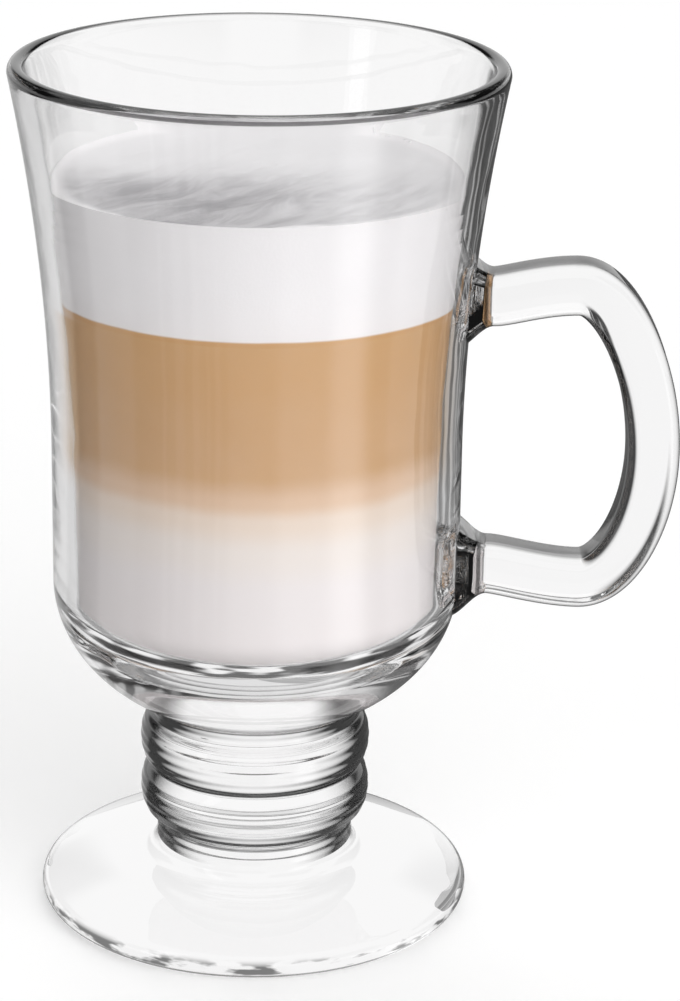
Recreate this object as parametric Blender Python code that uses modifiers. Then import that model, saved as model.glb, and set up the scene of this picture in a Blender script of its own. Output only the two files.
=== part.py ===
"""A footed glass mug with a handle, holding a layered latte macchiato.

Metres, +Z up. The origin is the centre of the foot's flat underside, on the table, and the
handle points along +X. The bowl, stem and foot are turned about the Z axis. The glass pieces
meet at their welds, and the drink lies in the bowl as a stack of layers.
"""

import math

import bmesh
import bpy

# Clearances between pieces that touch on the real mug
WELD_GAP = 0.0003
DRINK_GAP = 0.0003

# Foot: a low crowned disc with a rounded edge and a fillet up to the stem
FOOT_RADIUS = 0.03625
FOOT_EDGE_RADIUS = 0.0022
FOOT_RISE = 0.0036
FOOT_FILLET = 0.0025

# Stem: a plain collar, a stack of round rings, and a short neck under the bowl
COLLAR_RADIUS = 0.0166
COLLAR_HEIGHT = 0.0045
RING_COUNT = 2
RING_HEIGHT = 0.0086
RING_BULGE = 0.00195
GROOVE_RADIUS = 0.0174
GROOVE_WIDTH = 0.0004
NECK_RADIUS = 0.0180
NECK_HEIGHT = 0.0023

# Bowl: an elliptic belly, a straight wall and a flared mouth with a round lip
BODY_RADIUS = 0.03375
BELLY_DEPTH = 0.0250
STRAIGHT_HEIGHT = 0.0240
FLARE_HEIGHT = 0.0630
FLARE_WIDTH = 0.00625
FLARE_POWER = 1.93
LIP_THICKNESS = 0.0030
WALL_THICKNESS = 0.0046
FLOOR_THICKNESS = 0.0100
FLOOR_POWER = 2.4

# Handle: a flat bar with round edges; distances out are from the straight wall,
# distances up are from where the belly ends
HANDLE_WIDTH = 0.0086
HANDLE_THICKNESS = 0.0088
HANDLE_EDGE_RADIUS = 0.0020
HANDLE_LOWER_HEIGHT = 0.0027
HANDLE_SPAN = 0.0462
HANDLE_REACH = 0.0313
HANDLE_CREST = 0.0202
UPPER_SHOULDER_OUT = 0.0183
UPPER_SHOULDER_RISE = 0.0020
LOWER_SHOULDER_OUT = 0.0198
LOWER_SHOULDER_DROP = 0.0022
HANDLE_NECK_OUT = 0.0045
HANDLE_ROOT_WIDTH = 0.01548
HANDLE_ROOT_DEPTH = 0.0020
SHOULDER_TURN = 0.0060
CREST_TURN_UP = 0.0140
CREST_TURN_DOWN = 0.0120

# Drink: depth of each layer, from the bowl's floor upwards
MILK_DEPTH = 0.0210
BLEND_DEPTH = 0.0132
COFFEE_DEPTH = 0.0252
FOAM_DEPTH = 0.0196

# Colours, linear red, green and blue
CLEAR_GLASS = (0.95, 0.97, 0.97)
MILK_WHITE = (0.86, 0.82, 0.80)
BLEND_CREAM = (0.80, 0.66, 0.52)
COFFEE_TAN = (0.60, 0.38, 0.20)
FOAM_WHITE = (0.88, 0.87, 0.89)

# Fineness of the turned and swept surfaces
TURN_STEPS = 48
RING_POINTS = 9
LIP_POINTS = 7
BELLY_POINTS = 9
FLARE_POINTS = 9
EDGE_POINTS = 5
LAYER_POINTS = 4
HANDLE_STEPS = 8
CORNER_POINTS = 4
MERGE_DISTANCE = 0.00001
SHARP_ANGLE = math.radians(40.0)

# Heights that follow from the sizes above
FOOT_CROWN = 2.0 * FOOT_EDGE_RADIUS + FOOT_RISE
FOOT_TOP = FOOT_CROWN + FOOT_FILLET
STEM_BASE = FOOT_TOP + WELD_GAP
RING_PITCH = RING_HEIGHT + GROOVE_WIDTH
STEM_HEIGHT = COLLAR_HEIGHT + RING_COUNT * RING_PITCH + NECK_HEIGHT
BOWL_BASE = STEM_BASE + STEM_HEIGHT + WELD_GAP
WELD_ANGLE = math.acos(NECK_RADIUS / BODY_RADIUS)
BELLY_TOP = BELLY_DEPTH * math.sin(WELD_ANGLE)
FLARE_START = BELLY_TOP + STRAIGHT_HEIGHT
BOWL_HEIGHT = FLARE_START + FLARE_HEIGHT
LIP_RADIUS = LIP_THICKNESS / 2.0
LIP_CENTRE = BOWL_HEIGHT - LIP_RADIUS
HANDLE_UPPER_HEIGHT = HANDLE_LOWER_HEIGHT + HANDLE_SPAN


def spread(start, end, count):
    """Evenly spaced values from start to end, both included."""
    return [start + (end - start) * i / (count - 1) for i in range(count)]


def arc(centre, radius, start, end, count):
    """Points of an arc in the turning plane, angles in degrees."""
    points = []
    for angle in spread(math.radians(start), math.radians(end), count):
        points.append((centre[0] + radius * math.cos(angle), centre[1] + radius * math.sin(angle)))
    return points


def outer_radius(height):
    """Outer radius of the bowl's wall at a height above the bowl's base."""
    share = max(0.0, (height - FLARE_START) / (LIP_CENTRE - FLARE_START))
    return BODY_RADIUS + FLARE_WIDTH * share ** FLARE_POWER


def inner_radius(height):
    """Inner radius of the bowl's wall: the glass thins evenly from the belly to the lip."""
    share = max(0.0, (height - BELLY_TOP) / (LIP_CENTRE - BELLY_TOP))
    return outer_radius(height) - WALL_THICKNESS - (LIP_THICKNESS - WALL_THICKNESS) * share


def wall_heights():
    """Heights at which the bowl's wall is sampled, from the belly up to the lip."""
    return [BELLY_TOP] + spread(FLARE_START, LIP_CENTRE, FLARE_POINTS)


def floor_curve(gap):
    """The bowl's floor from the axis out to the wall, drawn in by a gap."""
    half_width = inner_radius(BELLY_TOP) - gap
    depth = BELLY_TOP - FLOOR_THICKNESS - gap
    points = []
    for angle in spread(0.0, math.pi / 2.0, BELLY_POINTS):
        across = math.sin(angle) ** (2.0 / FLOOR_POWER)
        down = max(0.0, math.cos(angle)) ** (2.0 / FLOOR_POWER)
        points.append((half_width * across, BELLY_TOP - depth * down))
    points[0] = (0.0, BELLY_TOP - depth)
    return points


def outer_curve(gap):
    """The bowl's outside from the lip down to its weld with the stem, pushed out by a gap."""
    points = [(outer_radius(z) + gap, z) for z in reversed(wall_heights())]
    for angle in spread(0.0, WELD_ANGLE, BELLY_POINTS)[1:]:
        radius = (BODY_RADIUS + gap) * math.cos(angle)
        points.append((radius, BELLY_TOP - (BELLY_DEPTH + gap) * math.sin(angle)))
    return points


def foot_profile():
    """Crowned disc: weld face, fillet, crown, round edge, flat underside."""
    fillet_centre = (COLLAR_RADIUS + FOOT_FILLET, FOOT_TOP)
    points = [(0.0, FOOT_TOP)]
    points += arc(fillet_centre, FOOT_FILLET, 180.0, 270.0, EDGE_POINTS)
    edge_centre = (FOOT_RADIUS - FOOT_EDGE_RADIUS, FOOT_EDGE_RADIUS)
    inside, outside = fillet_centre[0], edge_centre[0]
    for share in spread(0.0, 1.0, EDGE_POINTS)[1:-1]:
        height = FOOT_CROWN - FOOT_RISE * (1.0 - math.cos(share * math.pi / 2.0))
        points.append((inside + (outside - inside) * share, height))
    points += arc(edge_centre, FOOT_EDGE_RADIUS, 90.0, -90.0, LIP_POINTS)
    points.append((0.0, 0.0))
    return points


def stem_profile():
    """Neck, rings with grooves between them, and collar, from the top down."""
    points = [(0.0, STEM_HEIGHT), (NECK_RADIUS, STEM_HEIGHT)]
    for index in reversed(range(RING_COUNT)):
        middle = COLLAR_HEIGHT + index * RING_PITCH + RING_HEIGHT / 2.0
        for angle in spread(math.pi / 2.0, -math.pi / 2.0, RING_POINTS):
            radius = GROOVE_RADIUS + RING_BULGE * max(0.0, math.cos(angle))
            points.append((radius, middle + RING_HEIGHT / 2.0 * math.sin(angle)))
    points += [(COLLAR_RADIUS, COLLAR_HEIGHT), (COLLAR_RADIUS, 0.0), (0.0, 0.0)]
    return points


def bowl_profile():
    """Floor, inner wall, round lip, outer wall, belly and weld face."""
    inner_wall = [(inner_radius(z), z) for z in wall_heights()[1:-1]]
    lip_middle = (outer_radius(LIP_CENTRE) - LIP_RADIUS, LIP_CENTRE)
    lip = arc(lip_middle, LIP_RADIUS, 180.0, 0.0, LIP_POINTS)
    return floor_curve(0.0) + inner_wall + lip + outer_curve(0.0)[1:] + [(0.0, 0.0)]


def bowl_cutter_profile():
    """The bowl's outside as a solid, larger by the weld gap, to trim the handle's roots."""
    outside = outer_curve(WELD_GAP)
    return [(0.0, outside[0][1])] + outside + [(0.0, outside[-1][1])]


def drink_radius(height):
    """Radius of the drink at a height above the bowl's base."""
    if height >= BELLY_TOP:
        return inner_radius(height) - DRINK_GAP
    floor = floor_curve(DRINK_GAP)
    for low, high in zip(floor, floor[1:]):
        if low[1] <= height <= high[1]:
            share = (height - low[1]) / (high[1] - low[1])
            return low[0] + (high[0] - low[0]) * share
    return 0.0


def layer_profile(bottom, top):
    """One layer of the drink between two heights above the bowl's base."""
    heights = [top, bottom]
    heights += [height for _, height in floor_curve(DRINK_GAP) if bottom < height < top]
    if top > BELLY_TOP:
        heights += spread(top, max(bottom, BELLY_TOP), LAYER_POINTS)[1:-1]
    side = [(drink_radius(height), height) for height in sorted(heights, reverse=True)]
    side = [point for point in side if point[0] > MERGE_DISTANCE]
    return [(0.0, top)] + side + [(0.0, bottom)]


def glass_material(name):
    """Clear soda-lime glass."""
    material = bpy.data.materials.new(name)
    material.use_nodes = True
    shader = material.node_tree.nodes["Principled BSDF"]
    shader.inputs["Base Color"].default_value = (*CLEAR_GLASS, 1.0)
    shader.inputs["Metallic"].default_value = 0.0
    shader.inputs["Roughness"].default_value = 0.03
    shader.inputs["IOR"].default_value = 1.5
    shader.inputs["Transmission Weight"].default_value = 1.0
    return material


def drink_material(name, colour, roughness):
    """An opaque layer of the drink."""
    material = bpy.data.materials.new(name)
    material.use_nodes = True
    shader = material.node_tree.nodes["Principled BSDF"]
    shader.inputs["Base Color"].default_value = (*colour, 1.0)
    shader.inputs["Metallic"].default_value = 0.0
    shader.inputs["Roughness"].default_value = roughness
    return material


def turned(name, profile, height, material, collection, parent):
    """A solid of revolution: the profile runs down its outer side, and Screw turns it."""
    mesh = bpy.data.meshes.new(name)
    vertices = [(x, 0.0, z) for x, z in profile]
    edges = [(i, i + 1) for i in range(len(profile) - 1)]
    mesh.from_pydata(vertices, edges, [])
    piece = bpy.data.objects.new(name, mesh)
    collection.objects.link(piece)
    piece.parent = parent
    piece.location.z = height
    screw = piece.modifiers.new("turn", "SCREW")
    screw.axis = "Z"
    screw.steps = TURN_STEPS
    screw.render_steps = TURN_STEPS
    screw.use_merge_vertices = True
    screw.merge_threshold = MERGE_DISTANCE
    screw.use_smooth_shade = True
    if material:
        mesh.materials.append(material)
    return piece


def guide(piece):
    """Marks a cutter or a section outline as no piece of the mug."""
    piece.hide_render = True
    piece.display_type = "WIRE"
    return piece


def section_outline(collection):
    """The handle's cross-section: a rectangle with round corners."""
    curve = bpy.data.curves.new("handle_section", "CURVE")
    curve.dimensions = "2D"
    half_width = HANDLE_WIDTH / 2.0 - HANDLE_EDGE_RADIUS
    half_thickness = HANDLE_THICKNESS / 2.0 - HANDLE_EDGE_RADIUS
    points = []
    for start, side_x, side_y in ((0, 1, 1), (90, -1, 1), (180, -1, -1), (270, 1, -1)):
        centre = (side_x * half_thickness, side_y * half_width)
        points += arc(centre, HANDLE_EDGE_RADIUS, start, start + 90, CORNER_POINTS)
    spline = curve.splines.new("POLY")
    spline.points.add(len(points) - 1)
    for point, (x, y) in zip(spline.points, points):
        point.co = (x, y, 0.0, 1.0)
    spline.use_cyclic_u = True
    outline = bpy.data.objects.new("handle_section", curve)
    collection.objects.link(outline)
    return guide(outline)


def handle_knots():
    """Knots of the handle's centre line: place, thickness factor, and its two tangents."""
    upper, lower = HANDLE_UPPER_HEIGHT, HANDLE_LOWER_HEIGHT
    top = upper + UPPER_SHOULDER_RISE
    bottom = lower - LOWER_SHOULDER_DROP
    crest = lower + HANDLE_CREST
    root, neck = -HANDLE_ROOT_DEPTH, HANDLE_NECK_OUT
    step = (HANDLE_NECK_OUT + HANDLE_ROOT_DEPTH) / 3.0
    turn = SHOULDER_TURN
    flare = HANDLE_ROOT_WIDTH / HANDLE_WIDTH
    return (
        ((root, upper), flare, (-step, 0.0), (step, 0.0)),
        ((neck, upper), 1.0, (-step, 0.0), (step, 0.0)),
        ((UPPER_SHOULDER_OUT, top), 1.0, (-turn, 0.0), (turn, 0.0)),
        ((HANDLE_REACH, crest), 1.0, (0.0, CREST_TURN_UP), (0.0, -CREST_TURN_DOWN)),
        ((LOWER_SHOULDER_OUT, bottom), 1.0, (turn, 0.0), (-turn, 0.0)),
        ((neck, lower), 1.0, (step, 0.0), (-step, 0.0)),
        ((root, lower), flare, (step, 0.0), (-step, 0.0)),
    )


def handle_curve(outline, collection):
    """The bar swept along its centre line, in the plane of the handle."""
    curve = bpy.data.curves.new("handle_bar", "CURVE")
    curve.dimensions = "3D"
    curve.bevel_mode = "OBJECT"
    curve.bevel_object = outline
    curve.use_fill_caps = True
    curve.resolution_u = HANDLE_STEPS
    curve.render_resolution_u = HANDLE_STEPS
    knots = handle_knots()
    spline = curve.splines.new("BEZIER")
    spline.bezier_points.add(len(knots) - 1)
    spline.radius_interpolation = "EASE"
    for point, ((x, z), radius, before, after) in zip(spline.bezier_points, knots):
        point.handle_left_type = "FREE"
        point.handle_right_type = "FREE"
        point.co = (x, 0.0, z)
        point.handle_left = (x + before[0], 0.0, z + before[1])
        point.handle_right = (x + after[0], 0.0, z + after[1])
        point.radius = radius
    bar = bpy.data.objects.new("handle_bar", curve)
    collection.objects.link(bar)
    bar.location = (BODY_RADIUS, 0.0, BOWL_BASE + BELLY_TOP)
    return bar


def handle(cutter, material, collection, cutters, parent):
    """The swept bar as a mesh, with both roots trimmed to the bowl's outside."""
    bar = handle_curve(section_outline(cutters), cutters)
    bpy.context.view_layer.update()
    evaluated = bar.evaluated_get(bpy.context.evaluated_depsgraph_get())
    mesh = bpy.data.meshes.new_from_object(evaluated)
    mesh.name = "handle"
    welded = bmesh.new()
    welded.from_mesh(mesh)
    bmesh.ops.remove_doubles(welded, verts=welded.verts, dist=MERGE_DISTANCE)
    bmesh.ops.recalc_face_normals(welded, faces=welded.faces)
    welded.to_mesh(mesh)
    welded.free()
    mesh.materials.clear()
    mesh.materials.append(material)
    mesh.shade_smooth()
    mesh.set_sharp_from_angle(angle=SHARP_ANGLE)
    piece = bpy.data.objects.new("handle", mesh)
    collection.objects.link(piece)
    piece.matrix_world = bar.matrix_world
    bpy.data.objects.remove(bar)
    piece.parent = parent
    trim = piece.modifiers.new("trim_roots", "BOOLEAN")
    trim.operation = "DIFFERENCE"
    trim.solver = "EXACT"
    trim.object = cutter
    return piece


def drink(collection, parent):
    """Milk, the blend above it, coffee and foam, stacked from the floor up."""
    layers = (
        ("milk", MILK_DEPTH, drink_material("milk", MILK_WHITE, 0.35)),
        ("blend", BLEND_DEPTH, drink_material("blend", BLEND_CREAM, 0.35)),
        ("coffee", COFFEE_DEPTH, drink_material("coffee", COFFEE_TAN, 0.35)),
        ("foam", FOAM_DEPTH, drink_material("foam", FOAM_WHITE, 0.75)),
    )
    bottom = FLOOR_THICKNESS + DRINK_GAP
    for name, depth, material in layers:
        top = bottom + depth
        turned(name, layer_profile(bottom, top), BOWL_BASE, material, collection, parent)
        bottom = top + DRINK_GAP


def main():
    """Clears the scene and builds the mug."""
    for old in list(bpy.data.objects):
        bpy.data.objects.remove(old)
    scene = bpy.context.scene
    pieces = bpy.data.collections.new("latte_macchiato_glass")
    cutters = bpy.data.collections.new("cutters")
    scene.collection.children.link(pieces)
    scene.collection.children.link(cutters)
    stand = bpy.data.objects.new("table_point", None)
    pieces.objects.link(stand)

    turned("foot", foot_profile(), 0.0, glass_material("foot_glass"), pieces, stand)
    turned("stem", stem_profile(), STEM_BASE, glass_material("stem_glass"), pieces, stand)
    turned("bowl", bowl_profile(), BOWL_BASE, glass_material("bowl_glass"), pieces, stand)
    cutter = guide(turned("bowl_outside", bowl_cutter_profile(), BOWL_BASE, None, cutters, None))
    handle(cutter, glass_material("handle_glass"), pieces, cutters, stand)
    drink(pieces, stand)


main()
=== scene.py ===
"""A footed glass mug with a layered latte macchiato, on a white table in soft studio light."""

import math

import bpy
from mathutils import Matrix, Vector, geometry, noise


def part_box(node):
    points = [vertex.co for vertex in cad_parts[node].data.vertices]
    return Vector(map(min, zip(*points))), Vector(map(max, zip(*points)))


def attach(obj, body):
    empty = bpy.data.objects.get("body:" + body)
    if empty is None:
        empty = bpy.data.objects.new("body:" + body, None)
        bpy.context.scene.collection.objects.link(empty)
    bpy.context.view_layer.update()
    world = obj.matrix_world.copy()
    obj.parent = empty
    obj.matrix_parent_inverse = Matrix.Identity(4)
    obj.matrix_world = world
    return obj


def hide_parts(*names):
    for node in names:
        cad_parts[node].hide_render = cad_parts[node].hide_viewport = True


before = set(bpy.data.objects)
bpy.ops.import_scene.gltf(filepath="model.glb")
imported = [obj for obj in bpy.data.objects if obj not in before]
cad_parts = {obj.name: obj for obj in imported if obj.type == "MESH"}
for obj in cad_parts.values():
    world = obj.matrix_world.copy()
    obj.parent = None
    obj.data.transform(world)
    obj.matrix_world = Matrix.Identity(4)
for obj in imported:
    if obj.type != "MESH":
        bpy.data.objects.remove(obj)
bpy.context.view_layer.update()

# Places read from the CAD frame, in metres
FOOT_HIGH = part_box("foot")[1]
STEM_LOW, STEM_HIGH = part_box("stem")
BOWL_LOW, BOWL_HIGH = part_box("bowl")
MILK_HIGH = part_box("milk")[1]
BLEND_LOW, BLEND_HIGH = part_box("blend")
COFFEE_LOW, COFFEE_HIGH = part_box("coffee")
FOAM_LOW, FOAM_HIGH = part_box("foam")
LOWER_WELD = (FOOT_HIGH[2] + STEM_LOW[2]) / 2.0
UPPER_WELD = (STEM_HIGH[2] + BOWL_LOW[2]) / 2.0
MILK_LINE = (MILK_HIGH[2] + BLEND_LOW[2]) / 2.0
BLEND_LINE = (BLEND_HIGH[2] + COFFEE_LOW[2]) / 2.0
FOAM_LINE = (COFFEE_HIGH[2] + FOAM_LOW[2]) / 2.0
FOAM_TOP = FOAM_HIGH[2]
FOOT_RADIUS = FOOT_HIGH[0]
MOUTH_RADIUS = BOWL_HIGH[0]

# Foot
FOOT_EDGE_RADIUS = 0.0022
FOOT_EDGE_TOP = 69.5
FOOT_FILLET = 0.0025
SEAT_RADIUS = 0.0340
SEAT_WANDER = 0.0020
SEAT_WAVES = 4.5
SEAT_SHARE = 0.9

# Stem
COLLAR_RADIUS = 0.0166
COLLAR_HEIGHT = 0.0045
RING_COUNT = 2
RING_HEIGHT = 0.0086
RING_BULGE = 0.00195
GROOVE_RADIUS = 0.0174
GROOVE_WIDTH = 0.0004
NECK_RADIUS = 0.0180
STEM_SOFTNESS = 0.00035
PRESS_MARK_PITCH = 0.0016
PRESS_MARK_HEIGHT = 0.00004

# Bowl
BODY_RADIUS = 0.03375
BELLY_DEPTH = 0.0250
STRAIGHT_HEIGHT = 0.0240
FLARE_POWER = 1.93
LIP_THICKNESS = 0.0030
# Strips of the lip that get painted shade, by degrees up from its outside
LIP_FLANK = (4.0, 29.0)
LIP_TOP = (60.0, 125.0)
WALL_THICKNESS = 0.0046
FLOOR_THICKNESS = 0.0100
FLOOR_POWER = 2.4
BELLY_TOP = BOWL_LOW[2] + BELLY_DEPTH * math.sin(math.acos(NECK_RADIUS / BODY_RADIUS))
FLARE_START = BELLY_TOP + STRAIGHT_HEIGHT
LIP_CENTRE = BOWL_HIGH[2] - LIP_THICKNESS / 2.0
FLARE_WIDTH = MOUTH_RADIUS - BODY_RADIUS

# Handle: distances out from the straight wall and up from where the belly ends
HANDLE_WIDTH = 0.0086
HANDLE_THICKNESS = 0.0088
HANDLE_EDGE_RADIUS = 0.0020
HANDLE_LOWER = 0.0027
HANDLE_UPPER = 0.0489
HANDLE_REACH = 0.0313
HANDLE_CREST = 0.0229
UPPER_SHOULDER = (0.0183, 0.0509)
LOWER_SHOULDER = (0.0198, 0.0005)
HANDLE_NECK = 0.0045
HANDLE_ROOT = -0.0020
HANDLE_ROOT_FLARE = 1.8
HANDLE_TURN = 0.0060
CREST_PULL = (0.0140, -0.0120)
CURVE_STEPS = 40
ROOT_DEPTH = 0.00002

# Drink
DRINK_GAP = 0.00025
STROKE_TURN = math.radians(56.0)
FOAM_DIP = 0.0009
RIDGE_HEIGHT = 0.0004
STROKE_HEIGHT = 0.00035
COFFEE_LINE = (FOAM_LINE + 0.0003, FOAM_LINE + 0.0008)
COFFEE_CREEP = 0.0006

# Painted shade in grey strokes on the near half of the foam's top: their stretch and tone, and where
# they lie
STROKE_STRETCH = (2.6, 0.8, 1.0)
STROKE_TONES = (0.32, 0.68, 0.50, 1.0)
SHADE_BORDER = (-0.004, 0.018)
SHADE_WANDER = 0.016
SHADE_MIDDLE = -0.009
SHADE_FADE = (0.006, 0.032, 1.0, 0.40)
TOP_MARGIN = (0.0030, 0.0006)
TOP_DEPTH = 0.0025

# Bubbles: sizes, and runs along the foam's edge as first angle, last angle and count
BUBBLE_SMALLEST = 0.00016
BUBBLE_LARGEST = 0.00042
BUBBLE_RUNS = (
    (-54.0, -33.0, 17),
    (-146.0, -139.0, 4),
    (38.0, 61.0, 12),
    (112.0, 124.0, 6),
)

# Clear glass, with painted shade: its colour darkens towards its edges, and the lip's flank is tinted
# dark grey. An edge is where the darker tone starts, where it is full, and that tone,
# by how far a face turns from the eye
GLASS_INDEX = 1.5
GLASS_TONE = 0.985
LIP_SHADE_TONE = 0.12
PLAIN_EDGE = (0.75, 1.0, 0.25)
LIP_EDGE = (0.70, 1.0, 0.03)
LIP_TOP_EDGE = (0.15, 0.60, 0.001)
BAR_EDGE = (0.20, 0.75, 0.0025)
STEM_EDGE = (0.16, 0.48, 0.0016)

# Painted shade on the handle: its roots by distance from the axis, and the side turned to the fingers
ROOT_SHADE = (0.0356, 0.0366)
ROOT_SHADE_TONE = 0.88
ROOT_LINE = (0.0362, 0.0374, 0.0004)
ROOT_LINE_TONE = 0.06
FINGER_SIDE = (-0.45, -0.15)
FINGER_START = (0.048, 0.054)
FINGER_SLANT = (0.18, 0.50)
FINGER_CORNER = (0.20, 0.40)
FINGER_SHADE_TONE = 0.003

# Painted shade on the foot's edge: broken dark marks and a fine dark line, by height
MARK_SCALE = 130.0
MARK_FLATNESS = 4.0
MARK_RANGE = (0.47, 0.58)
MARK_BELT = (0.0002, 0.0038, 0.0012)
MARK_SHADE_TONE = 0.05
EDGE_LINE_BELT = (0.0001, 0.0012, 0.0004)
EDGE_LINE_STRENGTH = 0.65

# Wet inside of the wall: depth below the foam's top with the index there, and the painted reflection
# that tints the wall's mirrored light with the coffee's colour, by slant and by height
WET_STEPS = ((0.0800, 1.460), (0.0075, 1.473), (0.0050, 1.486))
WET_END = 0.0025
REFLECTION_SLANT_START = (0.175, 0.195)
REFLECTION_SLANT_END = (0.203, 0.254)
REFLECTION_BELOW = (0.0733, 0.0818)
REFLECTION_ABOVE = (FOAM_LINE - 0.0020, FOAM_LINE - 0.0012)
COFFEE_REFLECTION_COLOUR = (0.60, 0.38, 0.20, 1.0)

# Colours of the drink
COFFEE_COLOUR = (0.65, 0.39, 0.18, 1.0)
LAYER_RANGE = (0.060, 0.110)
LAYER_COLOURS = (
    (0.10, (0.86, 0.82, 0.82, 1.0)),
    (0.24, (0.86, 0.80, 0.76, 1.0)),
    (0.35, (0.84, 0.72, 0.62, 1.0)),
    (0.41, (0.77, 0.56, 0.40, 1.0)),
    (0.50, (0.65, 0.41, 0.22, 1.0)),
    (0.92, COFFEE_COLOUR),
)
SPECK_COLOUR = (1.0, 0.97, 0.94, 1.0)
FOAM_DARKER = (0.91, 0.895, 0.905, 1.0)
FOAM_LIGHTER = (0.96, 0.945, 0.955, 1.0)
# Painted shade: the foam's top is a tone greyer than its sides, against the light falling on it from
# above
FOAM_TOP_COLOUR = (0.84, 0.83, 0.84, 1.0)
PAINTED_SHADE_COLOUR = (0.39, 0.38, 0.395, 1.0)
# Painted shade: bubbles go from the high colour at the top to the low colour at the bottom
BUBBLE_LOW_COLOUR = (0.42, 0.41, 0.42, 1.0)
BUBBLE_HIGH_COLOUR = (0.88, 0.87, 0.88, 1.0)

# Light: direction, narrowness and strength of the two soft lobes, and the even dome
KEY_LIGHT = ((0.46, -0.69, 0.56), 5.0, 3.05)
BACK_LIGHT = ((-0.15, 0.78, 0.60), 8.0, 2.0)
DOME_LEVEL = 0.22
SOFTBOX_SIZE = (0.22, 1.4)
SOFTBOX_ENERGY = 0.85
SOFTBOX_PLACE = Vector((-0.79, -0.62, 0.55))
SOFTBOX_AIM = Vector((0.0, 0.0, 0.08))

# Dark panels around the set that only the glass shows: heights of the upper ones, and sides as
# first angle, last angle and softness in degrees
PANEL_DEPTH = 0.95
PANEL_RISE = (0.12, 0.25)
PANEL_TOP = (0.50, 0.62)
PANEL_SIDES = (14.0, 76.0, 10.0)
RIGHT_PANEL = (10.0, 76.0, 8.0)
LEFT_PANEL = (95.0, 126.0, 8.0)
FAR_PANEL = (13.0, 76.0, 4.0)
FAR_START = (0.44, 0.52)
PANEL_LEAST = 0.28
PANEL_GROWTH = (0.05, 0.40, 0.60, 0.95)
SLIVER_TURN = 0.16
SLIVER_LENGTH = 3.0
SLIVER_TONES = (0.50, 0.62, 1.0, 0.40)
LOST_TONES = (0.44, 0.56, 0.05, 0.85)

# What the outside of the glass mirrors of the table: one strip, two softer sides and the rest
# Painted highlight: the table glows brightest in this strip, seen only in the glass's reflections, like
# a softbox
STRIP_SIDE = (114.0, 146.0, 12.0)
STRIP_LEVEL = 1.3
SHINE_SIDES = (118.0, 172.0, 8.0)
SHINE_LEVEL = 0.55
SHINE_LEAST = 0.15

# Table
TABLE_HALF = 3.0
TABLE_DROP = 0.00005
TABLE_TONE = 0.66
TABLE_SEEN_DIM = 0.06
TABLE_SEEN_GLOW = 0.42
TABLE_THROUGH_GLOW = 0.95

# Camera, found from the ellipses of the rim and the foot
CAMERA_PLACE = (0.01379, -0.5202, 0.2551)
CAMERA_PITCH = math.radians(70.45)
CAMERA_ROLL = math.radians(0.916)
CAMERA_LENS = 119.9
SENSOR_WIDTH = 36.0

# Steps of a full turn, the angle up to which faces shade as one, and plain white
TURN_STEPS = 240
SMOOTH_ANGLE = math.radians(35.0)
WHITE = (1.0, 1.0, 1.0, 1.0)

scene = bpy.context.scene

# Clear glass needs long light paths, or its thick parts turn black
scene.cycles.max_bounces = 40
scene.cycles.glossy_bounces = 24
scene.cycles.transmission_bounces = 40
scene.cycles.transparent_max_bounces = 40
scene.cycles.blur_glossy = 0.0


def spread(start, end, count):
    """Evenly spaced values from start to end, both included."""
    return [start + (end - start) * i / (count - 1) for i in range(count)]


def arc(centre, radius, start, end, count):
    """Points of an arc in the turning plane, angles in degrees."""
    angles = spread(math.radians(start), math.radians(end), count)
    return [(centre[0] + radius * math.cos(a), centre[1] + radius * math.sin(a)) for a in angles]


def feed(tree, socket, source):
    """Links a socket to another one, or sets its value."""
    if isinstance(source, bpy.types.NodeSocket):
        tree.links.new(source, socket)
    else:
        socket.default_value = source


def calc(tree, operation, *sources):
    """A math node."""
    made = tree.nodes.new("ShaderNodeMath")
    made.operation = operation
    for socket, source in zip(made.inputs, sources):
        feed(tree, socket, source)
    return made.outputs[0]


def smooth_range(tree, source, low, high, first=0.0, last=1.0):
    """A smooth step from first to last while the source goes from low to high."""
    made = tree.nodes.new("ShaderNodeMapRange")
    made.interpolation_type = "SMOOTHSTEP"
    feed(tree, made.inputs["Value"], source)
    made.inputs["From Min"].default_value = low
    made.inputs["From Max"].default_value = high
    made.inputs["To Min"].default_value = first
    made.inputs["To Max"].default_value = last
    return made.outputs["Result"]


def between(tree, source, start, end, soft):
    """One between two values and zero outside, with soft borders inside them."""
    rise = smooth_range(tree, source, start, start + soft)
    return calc(tree, "SUBTRACT", rise, smooth_range(tree, source, end - soft, end))


def split(tree, source):
    """X, Y and Z of a vector."""
    made = tree.nodes.new("ShaderNodeSeparateXYZ")
    feed(tree, made.inputs[0], source)
    return made.outputs


def off_axis(tree, spot):
    """Distance from the Z axis."""
    across = calc(tree, "POWER", spot["X"], 2.0)
    return calc(tree, "SQRT", calc(tree, "ADD", across, calc(tree, "POWER", spot["Y"], 2.0)))


def set_values(node, values):
    """Sets sockets of a node by their names."""
    for label, value in values.items():
        node.inputs[label].default_value = value


def set_input(modifier, name, value):
    """Sets a Geometry Nodes input by its name."""
    for item in modifier.node_group.interface.items_tree:
        if item.name == name and item.in_out == "INPUT":
            modifier[item.identifier] = value


def plain(piece):
    """Keeps what the modifiers make as the piece's own mesh."""
    bpy.context.view_layer.update()
    graph = bpy.context.evaluated_depsgraph_get()
    mesh = bpy.data.meshes.new_from_object(piece.evaluated_get(graph))
    piece.modifiers.clear()
    piece.data = mesh
    mesh.name = piece.name
    return piece


# Outlines of the turned pieces


def outer_radius(z):
    """Outside of the bowl's wall above the belly."""
    share = max(0.0, (z - FLARE_START) / (LIP_CENTRE - FLARE_START))
    return BODY_RADIUS + FLARE_WIDTH * share ** FLARE_POWER


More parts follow.
